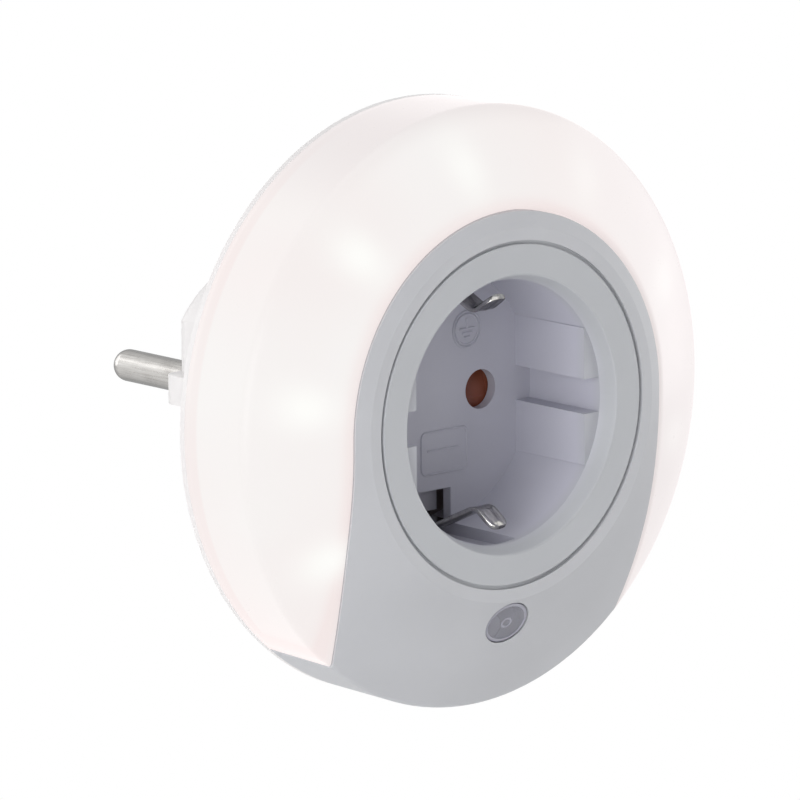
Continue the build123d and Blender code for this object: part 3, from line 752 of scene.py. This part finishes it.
@dataclass(frozen=True)
class WorkedMetal:
    """Turned, drawn or stamped metal: two near tints, the direction of its lines, its gloss and a
    painted dark reflection where it turns away.
    """

    light: Colour
    dark: Colour
    stretch: tuple[float, float, float] = (1.0, 1.0, 1.0)
    lines: float = 2500.0
    smooth: float = 0.18
    rough: float = 0.4
    relief: float = 0.000002
    # painted reflection: colour of the metal where it turns away from the eye
    painted_dark_reflection: Colour = srgb(96, 94, 92)
    painted_dark_reflection_span: Span = (0.25, 0.95)  # from facing the eye to turned away

    def build(self, coat: Coat) -> None:
        """Give the shader the drawn metal effect, with a painted dark reflection where it turns
        away.

        Args:
            coat: builder of the material.
        """
        metal = coat.effect(drawn_metal_group(), Light=self.light, Dark=self.dark,
                            Stretch=self.stretch, Lines=self.lines, Smooth=self.smooth,
                            Rough=self.rough)
        # painted reflection: darker towards grazing angles
        facing = coat.add("LayerWeight", {"Blend": 0.5}).outputs["Facing"]
        turned = coat.ramp(facing, *self.painted_dark_reflection_span, smooth=True)
        tone_with_painted_reflection = coat.blend(turned, metal["Colour"], self.painted_dark_reflection)
        coat.surface(metal, self.relief, {"Base Color": tone_with_painted_reflection, "Metallic": 1.0})


@dataclass(frozen=True)
class ClearLens:
    """Clear moulded lens with a faint smoke tint."""

    tint: Colour
    haze: Colour
    grain: float = 900.0
    flow: float = 260.0
    smooth: float = 0.06
    rough: float = 0.16
    relief: float = 0.000003
    clearness: float = 0.72
    ior: float = 1.49

    def build(self, coat: Coat) -> None:
        """Let light through the shader, with the moulded skin effect as haze.

        Args:
            coat: builder of the material.
        """
        skin = coat.effect(moulded_skin_group(), Colour=self.tint, Cloud=self.haze,
                           Grain=self.grain, Flow=self.flow, Smooth=self.smooth, Rough=self.rough)
        coat.surface(skin, self.relief, {"Transmission Weight": self.clearness, "IOR": self.ior})


class Finish(Enum):
    """Every finish of the light."""

    COVER_GREY = MouldedPlastic(srgb(184, 185, 189), srgb(188, 189, 193))
    # painted light: the recess behind the flange turns a lighter, bluer grey
    INSERT_GREY = MouldedPlastic(
        srgb(177, 179, 183), srgb(180, 182, 186), grain=4300.0, painted_recess_light=srgb(188, 188, 199))
    OPAL_DIFFUSER = OpalPlastic(
        srgb(84, 83, 82), srgb(82, 80, 79), light=(0.825, 0.805, 0.795, 1.0),
        light_blush_and_shadow=(0.80, 0.71, 0.70, 1.0), painted_shade=(0.70, 0.65, 0.65, 1.0),
        spot=(0.888, 0.886, 0.862, 1.0))
    WHITE_SHELL = MouldedPlastic(
        srgb(232, 230, 230), srgb(228, 225, 225), grain=3600.0, smooth=0.3, rough=0.42)
    REFLECTOR_WHITE = MouldedPlastic(
        srgb(240, 240, 238), srgb(232, 232, 230), smooth=0.5, rough=0.7)
    SHUTTER_BROWN = MouldedPlastic(
        srgb(50, 25, 21), srgb(38, 20, 18), grain=2600.0, smooth=0.25, rough=0.4)
    CARRIER_UMBER = MouldedPlastic(srgb(128, 118, 119), srgb(114, 105, 107), grain=2600.0)
    PIN_NICKEL = WorkedMetal(
        srgb(214, 212, 209), srgb(184, 181, 178), stretch=(1.0, 0.03, 1.0), lines=4200.0,
        smooth=0.2, rough=0.36, painted_dark_reflection=srgb(66, 65, 64))
    CLIP_NICKEL = WorkedMetal(
        srgb(228, 226, 222), srgb(190, 188, 184), stretch=(1.0, 0.25, 0.25), lines=3000.0,
        smooth=0.08, rough=0.2, painted_dark_reflection=srgb(72, 70, 70))
    STRIP_BRASS = WorkedMetal(srgb(204, 174, 108), srgb(160, 130, 74), stretch=(0.2, 1.0, 1.0))
    SPRING_STEEL = WorkedMetal(srgb(176, 176, 178), srgb(120, 120, 124), lines=5200.0)
    SCREW_ZINC = WorkedMetal(
        srgb(178, 178, 176), srgb(126, 126, 124), lines=3200.0, smooth=0.26, rough=0.46)
    LENS_CLEAR = ClearLens(srgb(214, 214, 226), srgb(196, 196, 212))
    LENS_RING = MouldedPlastic(
        srgb(158, 158, 169), srgb(144, 143, 156), grain=1500.0, smooth=0.06, rough=0.14,
        specular=0.6)
    BOARD_WHITE = MouldedPlastic(srgb(226, 228, 222), srgb(214, 217, 210), grain=1500.0, smooth=0.3)
    LED_PHOSPHOR = MouldedPlastic(
        srgb(246, 226, 132), srgb(238, 210, 108), grain=3000.0, smooth=0.2)
    SENSOR_SMOKE = MouldedPlastic(
        srgb(72, 66, 84), srgb(54, 50, 66), grain=1500.0, smooth=0.08, rough=0.2)
    FILM_YELLOW = MouldedPlastic(srgb(226, 176, 52), srgb(214, 160, 40), grain=1800.0, smooth=0.2)
    SLEEVE_BLACK = MouldedPlastic(
        srgb(36, 36, 42), srgb(28, 28, 33), grain=1300.0, smooth=0.16, rough=0.3)
    CHIP_BLACK = MouldedPlastic(
        srgb(40, 40, 41), srgb(32, 32, 33), grain=1900.0, smooth=0.5, rough=0.7)
    RESISTOR_BLUE = MouldedPlastic(
        srgb(112, 154, 186), srgb(96, 138, 172), grain=1700.0, smooth=0.22)
    FUSE_GREEN = MouldedPlastic(srgb(92, 148, 104), srgb(78, 132, 92), grain=1700.0, smooth=0.22)
    WIRE_BROWN = MouldedPlastic(srgb(112, 66, 42), srgb(98, 56, 36), grain=1500.0, smooth=0.2)
    WIRE_BLUE = MouldedPlastic(srgb(48, 84, 160), srgb(40, 72, 142), grain=1500.0, smooth=0.2)

    def material(self) -> Material:
        """The finish's material, built the first time it is asked for.

        Returns:
            The material, named after the finish.
        """
        name = self.name.lower()
        if name not in bpy.data.materials:
            self.value.build(Coat(name))
        return bpy.data.materials[name]


def dress(piece: Piece, finish: Finish) -> None:
    """Give a piece one finish all over, in every material slot it has.

    Args:
        piece: the piece or CAD node.
        finish: its finish.
    """
    material = finish.material()
    if not piece.material_slots:
        piece.data.materials.append(material)
    for slot in piece.material_slots:
        slot.material = material


# ---- sub-assemblies
@dataclass
class SubAssembly:
    """A group of pieces on one body: CAD nodes that are dressed, and pieces that are built."""

    body: str = "base"
    node_finishes: dict[str, Finish] = field(default_factory=dict)

    def settle(
        self, piece: Piece, finish: Finish, slot: str, replaces: Iterable[str] = ()
    ) -> None:
        """Dress a new piece and tie it to its body.

        Args:
            piece: the new piece.
            finish: its finish.
            slot: the record's slot for its finish; not used.
            replaces: CAD nodes that it stands for.
        """
        dress(piece, finish)
        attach(piece, self.body)
        for node in replaces:
            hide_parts(node)
        log.info("built %s with %d faces", piece.name, len(piece.data.polygons))

    def build(self) -> None:
        """Give each CAD node of the group its finish."""
        for node, finish in self.node_finishes.items():
            dress(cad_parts[node], finish)
            log.info("dressed %s in %s", node, finish.name.lower())


@dataclass
class FrontShells(SubAssembly):
    """Grey cover, opal rim and the dusk sensor behind its lens; sizes in mm."""

    node_finishes: dict[str, Finish] = field(default_factory=lambda: {
        "front_panel": Finish.COVER_GREY,
        "diffuser": Finish.OPAL_DIFFUSER,
        "light_sensor": Finish.SENSOR_SMOKE,
        "sensor_window": Finish.LENS_CLEAR,
    })
    dome_r: float = 79.0
    dome_centre: float = 74.02  # depth behind the front face
    lens_flange: float = 0.9  # hidden under the cover
    lens_sink: float = 0.25
    edge_line: Bead = Bead(0.5, 0.17)
    edge_inset: float = 0.28
    middle_line: Bead = Bead(0.3, 0.09)
    middle_share: float = 0.22
    ring_steps: int = 96

    def lens_face(self, x: Array, height: Array) -> Array:
        """Depth of the lens, which follows the domed front a little below it."""
        return self.dome_centre - np.sqrt((self.dome_r - self.lens_sink) ** 2 - x**2 - height**2)

    def lens_ring(
        self, name: str, line: Bead, inset: float = 0.0, share: float = 1.0
    ) -> Piece:
        """Moulded ring on the lens, an ellipse like its outline.

        Args:
            name: the piece's name.
            line: its bead.
            inset: how far it stays inside the lens outline, in mm.
            share: its size as a share of the rest.

        Returns:
            The piece.
        """
        low, high = (np.array(corner)[[0, 2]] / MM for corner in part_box("sensor_window"))
        middle = (low + high) / 2 - [0.0, DATUM.axis_z]
        half = ((high - low) / 2 - self.lens_flange - inset) * share
        route = middle + half * circle(self.ring_steps)
        return line.join(name, [(route, True)], self.lens_face)

    def build(self) -> None:
        """Dress the shells and add the rings of the lens."""
        super().build()
        edge = self.lens_ring("lens_edge", self.edge_line, inset=self.edge_inset)
        middle = self.lens_ring("lens_middle", self.middle_line, share=self.middle_share)
        for ring in (edge, middle):
            self.settle(ring, Finish.LENS_RING, "clear_lens")


@dataclass
class SocketRecess(SubAssembly):
    """Socket insert with the raised earth sign and the bare frame on its floor; sizes in mm."""

    node_finishes: dict[str, Finish] = field(default_factory=lambda: {
        "socket_insert": Finish.INSERT_GREY,
        "contact_carrier": Finish.CARRIER_UMBER,
        "live_contact": Finish.STRIP_BRASS,
        "neutral_contact": Finish.STRIP_BRASS,
        "earth_strap": Finish.STRIP_BRASS,
    })
    floor_depth: float = 17.5
    line: Bead = Bead(0.36, 0.2)
    groove_radii: Span = (25.0, 25.85)
    groove_depth: float = 0.5
    groove_sag: float = 0.12
    groove_back: float = 0.7  # thickness of the ring behind the groove
    groove_points: int = 13
    groove_steps: int = 288
    channel_half: float = 3.5
    channel_heights: Span = (13.6, 17.6)
    channel_depth: float = 20.6
    channel_floor_t: float = 0.6
    sign_middle: Span = (6.9, 9.3)
    sign_radii: Span = (2.7, 2.25)
    sign_stem: Span = (1.62, 0.1)  # top and foot above the sign's middle
    sign_bars: tuple[Span, ...] = ((0.1, 1.45), (-0.55, 0.95), (-1.15, 0.5))  # height, half width
    sign_steps: int = 72
    stem_points: int = 8
    bar_points: int = 10
    frame_low: Span = (-2.2, -11.4)  # its lower left corner
    frame_high: Span = (6.75, -5.1)  # its upper right corner
    frame_r: float = 0.9
    frame_line: float = -7.9  # height of the line across the frame
    frame_line_gaps: Span = (1.2, 1.6)  # to the frame's left and right sides
    frame_line_points: int = 12

    def floor(self, x: Array, height: Array) -> Array:
        """Depth of the recess floor, the same everywhere."""
        return np.full(np.shape(x), self.floor_depth)

    def earth_sign(self) -> Piece:
        """The general earth sign: a double ring, a stem and three bars, each shorter than the last.

        Returns:
            The piece.
        """
        middle = np.array(self.sign_middle)
        routes = [(middle + circle(self.sign_steps) * r, True) for r in self.sign_radii]
        stem = np.array([[0.0, end] for end in self.sign_stem])
        routes.append((middle + even_route(stem, self.stem_points), False))
        for drop, half in self.sign_bars:
            bar = np.array([[-half, drop], [half, drop]])
            routes.append((middle + even_route(bar, self.bar_points), False))
        return self.line.join("earth_sign", routes, self.floor)

    def bare_frame(self) -> Piece:
        """A rounded frame with one line across it, left empty.

        Returns:
            The piece.
        """
        (left, bottom), (right, top) = self.frame_low, self.frame_high
        corners = np.array([[left, bottom], [right, bottom], [right, top], [left, top]])
        start, end = left + self.frame_line_gaps[0], right - self.frame_line_gaps[1]
        line = np.array([[start, self.frame_line], [end, self.frame_line]])
        border = rounded_route(corners, self.frame_r, closed=True)
        routes = [(border, True), (even_route(line, self.frame_line_points), False)]
        return self.line.join("floor_frame", routes, self.floor)

    def groove_ring(self) -> Piece:
        """Soft floor of the groove round the flange, a hollow cove between both walls.

        Returns:
            The piece.
        """
        t = np.linspace(0, pi, self.groove_points)
        (inner, outer), depth = self.groove_radii, self.groove_depth
        middle, half = (inner + outer) / 2, (outer - inner) / 2
        cove = np.stack([middle - half * np.cos(t), depth + self.groove_sag * np.sin(t)], axis=1)
        back = depth + self.groove_back
        section = np.concatenate([cove, [[outer, back], [inner, back]]])
        return add_object("groove_ring", outward(lathe("groove_ring", section, self.groove_steps)))

    def channel_floor(self, name: str, up: int) -> Piece:
        """Web of the insert that closes an earth clip's channel behind its opening.

        Args:
            name: the piece's name.
            up: 1 for the upper channel, -1 for the lower.

        Returns:
            The piece.
        """
        half = self.channel_half
        near, far = (height * up for height in self.channel_heights)
        outline = np.array([[-half, near], [half, near], [half, far], [-half, far]])
        depths = np.array([[self.channel_depth], [self.channel_depth + self.channel_floor_t]])
        points = DATUM.place(outline[:, 0], outline[:, 1], depths).reshape(-1, 3)
        return add_object(name, outward(mesh_of(name, points, grid_quads(2, 4), end_caps(2, 4))))

    def build(self) -> None:
        """Dress the nodes and add the channels' floors, the groove's floor and the raised marks."""
        super().build()
        pieces = (
            self.channel_floor("upper_channel_floor", 1),
            self.channel_floor("lower_channel_floor", -1),
            self.groove_ring(),
            self.earth_sign(),
            self.bare_frame(),
        )
        for piece in pieces:
            self.settle(piece, Finish.INSERT_GREY, "grey_insert")


@dataclass
class EarthClip(SubAssembly):
    """Sprung earth contact: a bent, crowned strip with a pressed tip; sizes in mm."""

    node: str = "upper_earth_clip"
    up: int = 1
    width: float = 3.6
    thickness: float = 0.8
    bend_r: float = 2.4
    bend_steps: int = 16
    crown: float = 0.16
    squareness: float = 5.0
    route: tuple[Span, ...] = ((23.6, 18.4), (15.4, 18.4), (6.7, 14.45), (3.0, 17.0))
    tip_start: float = 0.93  # share of the route where the tip narrows
    tip_width: float = 0.55
    tip_round: float = 0.96
    groove_depth: float = 0.22
    groove_start: float = 0.80  # share of the route where the pressed groove starts
    groove_rise: float = 0.06
    groove_fall: float = 0.03
    groove_spread: float = 0.3  # as a share of the half width
    rows: int = 120
    columns: int = 40

    def strip(self) -> Piece:
        """The bent strip.

        Along its route (depth, height) the section is a rounded rectangle |w|^5 + |t|^5 = 1, lifted
        by crown * (1 - w^2) in the middle; the tip narrows on a quarter of a circle, and a pressed
        groove runs down its last stretch.

        Returns:
            The piece.
        """
        bent = rounded_route(np.array(self.route), self.bend_r, self.bend_steps)
        line = even_route(bent, self.rows)
        section = circle(self.columns).T
        w, t = np.sign(section) * np.abs(section) ** (2 / self.squareness)
        run = np.linspace(0, 1, self.rows)
        end = np.clip((run - self.tip_start) / (1 - self.tip_start), 0, 1)
        narrow = self.tip_width + (1 - self.tip_width) * np.sqrt(1 - self.tip_round * end**2)
        rise = np.clip((run - self.groove_start) / self.groove_rise, 0, 1)
        groove = self.groove_depth * rise * np.clip((1 - run) / self.groove_fall, 0, 1)
        lift = t * self.thickness / 2 - self.crown * (1 - w**2)
        lift = lift + groove[:, None] * np.exp(-((w / self.groove_spread) ** 2))
        flat = line[:, None, :] + route_sides(line)[:, None, :] * lift[..., None]
        across = w * self.width / 2 * narrow[:, None]
        points = DATUM.place(across, flat[..., 1] * self.up, flat[..., 0]).reshape(-1, 3)
        quads, caps = grid_quads(self.rows, self.columns), end_caps(self.rows, self.columns)
        name = self.node + "_strip"
        return add_object(name, outward(mesh_of(name, points, quads, caps)))

    def build(self) -> None:
        """Build the strip in place of its node."""
        self.settle(self.strip(), Finish.CLIP_NICKEL, "bright_nickel", [self.node])


@dataclass
class Shutter(SubAssembly):
    """Child-safety shutter with its spring."""

    body: str = "shutter_body"
    node_finishes: dict[str, Finish] = field(default_factory=lambda: {
        "shutter": Finish.SHUTTER_BROWN,
        "shutter_spring": Finish.SPRING_STEEL,
    })


@dataclass
class PlugEnd(SubAssembly):
    """White rear housing with the plug, its pins, earth contacts and screws."""

    node_finishes: dict[str, Finish] = field(default_factory=lambda: {
        "rear_housing": Finish.WHITE_SHELL,
        "live_pin": Finish.PIN_NICKEL,
        "neutral_pin": Finish.PIN_NICKEL,
        "upper_plug_earth": Finish.CLIP_NICKEL,
        "lower_plug_earth": Finish.CLIP_NICKEL,
        "case_screws": Finish.SCREW_ZINC,
    })


@dataclass
class LightEngine(SubAssembly):
    """Circuit board with its LEDs and supply parts."""

    node_finishes: dict[str, Finish] = field(default_factory=lambda: {
        "reflector": Finish.REFLECTOR_WHITE,
        "led_board": Finish.BOARD_WHITE,
        "leds": Finish.LED_PHOSPHOR,
        "dropper_capacitor": Finish.FILM_YELLOW,
        "smoothing_capacitor": Finish.SLEEVE_BLACK,
        "bridge_rectifier": Finish.CHIP_BLACK,
        "resistors": Finish.RESISTOR_BLUE,
        "fuse": Finish.FUSE_GREEN,
        "live_wire": Finish.WIRE_BROWN,
        "neutral_wire": Finish.WIRE_BLUE,
    })


# ---- studio
@dataclass(frozen=True)
class Lamp:
    """Square soft lamp that shines at the origin."""

    name: str
    place: tuple[float, float, float]  # metres
    size: float  # metres
    power: float  # watts

    def hang(self) -> None:
        """Put the lamp into the scene."""
        data = bpy.data.lights.new(self.name, "AREA")
        data.size = self.size
        data.energy = self.power
        lamp = bpy.data.objects.new(self.name, data)
        spot = Vector(self.place)
        turn = spot.to_track_quat("Z", "Y").to_matrix().to_4x4()
        lamp.matrix_world = Matrix.Translation(spot) @ turn
        bpy.context.scene.collection.objects.link(lamp)


@dataclass(frozen=True)
class Studio:
    """Camera, floor, lamps and the white surround; metres where nothing else is said."""

    azimuth: float = radians(-41.86)
    elevation: float = radians(11.53)
    roll: float = radians(0.43)
    distance: float = 2.0
    sensor: float = 36.0  # mm
    scale: float = 6.887  # pixels to a mm at the light
    frame_px: int = 800
    aim_right: float = -16.40  # mm
    aim_up: float = 2.21  # mm
    clip: Span = (0.1, 50.0)
    floor_drop: float = 0.3
    floor_half: float = 3.0
    floor_cloud: float = 3.0
    floor_tints: tuple[Colour, Colour] = ((0.90, 0.90, 0.90, 1.0), (0.93, 0.93, 0.93, 1.0))
    surround: float = 0.28
    lamps: tuple[Lamp, ...] = (
        Lamp("left_front", (-0.690, -0.399, 0.070), 0.5, 3.3),
        Lamp("left_side", (-0.780, -0.166, 0.070), 0.5, 1.0),
        Lamp("right_side", (0.785, -0.138, 0.070), 0.5, 1.7),
        Lamp("right_low", (0.546, -0.546, -0.207), 0.4, 1.15),
        Lamp("top", (0.0, -0.233, 0.869), 0.6, 3.2),
        Lamp("rear", (-0.30, 1.15, 0.30), 0.8, 3.2),
    )

    def camera(self) -> None:
        """Long lens from the front left, above the light.

        The three camera axes come from azimuth and elevation, then turn by the roll about the view.
        """
        az, el = self.azimuth, self.elevation
        back = Vector((sin(az) * cos(el), -cos(az) * cos(el), sin(el)))
        right = Vector((cos(az), sin(az), 0.0))
        up = back.cross(right)
        rolled_right = right * cos(self.roll) - up * sin(self.roll)
        rolled_up = right * sin(self.roll) + up * cos(self.roll)
        front = Vector((0.0, DATUM.front_y, DATUM.axis_z)) * MM
        aim = front + (rolled_right * self.aim_right + rolled_up * self.aim_up) * MM
        data = bpy.data.cameras.new("view")
        data.sensor_width = self.sensor
        data.lens = self.scale * self.distance / MM * self.sensor / self.frame_px
        data.clip_start, data.clip_end = self.clip
        camera = bpy.data.objects.new("view", data)
        axes = Matrix((rolled_right, rolled_up, back)).transposed().to_4x4()
        camera.matrix_world = Matrix.Translation(aim + back * self.distance) @ axes
        bpy.context.scene.collection.objects.link(camera)
        bpy.context.scene.camera = camera

    def surround_world(self) -> None:
        """Even white surround: soft light for surfaces, full white where it is seen directly."""
        world = bpy.data.worlds.new("surround")
        n = Nodes(emptied_tree(world))
        strength = n.ramp(n.seen_directly(), 0.0, 1.0, ends=(self.surround, 1.0))
        light = n.add("Background", {"Color": WHITE, "Strength": strength})
        n.add("OutputWorld", {"Surface": light.outputs["Background"]})
        bpy.context.scene.world = world

    def floor(self) -> None:
        """Pale floor well below the light: white where it is seen directly, and shaded by it."""
        half, z = self.floor_half, -self.floor_drop
        corners = [(-half, -half, z), (half, -half, z), (half, half, z), (-half, half, z)]
        mesh = bpy.data.meshes.new("floor")
        mesh.from_pydata(corners, [], [(0, 1, 2, 3)])
        floor = add_object("floor", mesh)
        material = bpy.data.materials.new("floor_white")
        n = Nodes(emptied_tree(material))
        cloud = n.noise(n.add("TexCoord").outputs["Object"], self.floor_cloud, Detail=2.0)
        matt = n.add("BsdfDiffuse", {"Color": n.blend(cloud, *self.floor_tints)})
        white = n.add("Emission", {"Color": WHITE, "Strength": 1.0})
        mix = n.add("MixShader", {0: n.seen_directly(), 1: matt.outputs[0], 2: white.outputs[0]})
        n.add("OutputMaterial", {"Surface": mix.outputs[0]})
        mesh.materials.append(material)

    def build(self) -> None:
        """Set up the whole studio."""
        self.camera()
        self.surround_world()
        self.floor()
        for lamp in self.lamps:
            lamp.hang()
        bpy.context.scene.view_settings.view_transform = "Standard"


def main() -> None:
    """Build every sub-assembly and the studio."""
    logging.basicConfig(level=logging.INFO, format="%(message)s")
    assemblies: list[SubAssembly] = [
        FrontShells(),
        SocketRecess(),
        EarthClip(body="upper_clip_body", node="upper_earth_clip", up=1),
        EarthClip(body="lower_clip_body", node="lower_earth_clip", up=-1),
        Shutter(),
        PlugEnd(),
        LightEngine(),
    ]
    for assembly in assemblies:
        assembly.build()
    Studio().build()


if __name__ == "__main__":
    main()
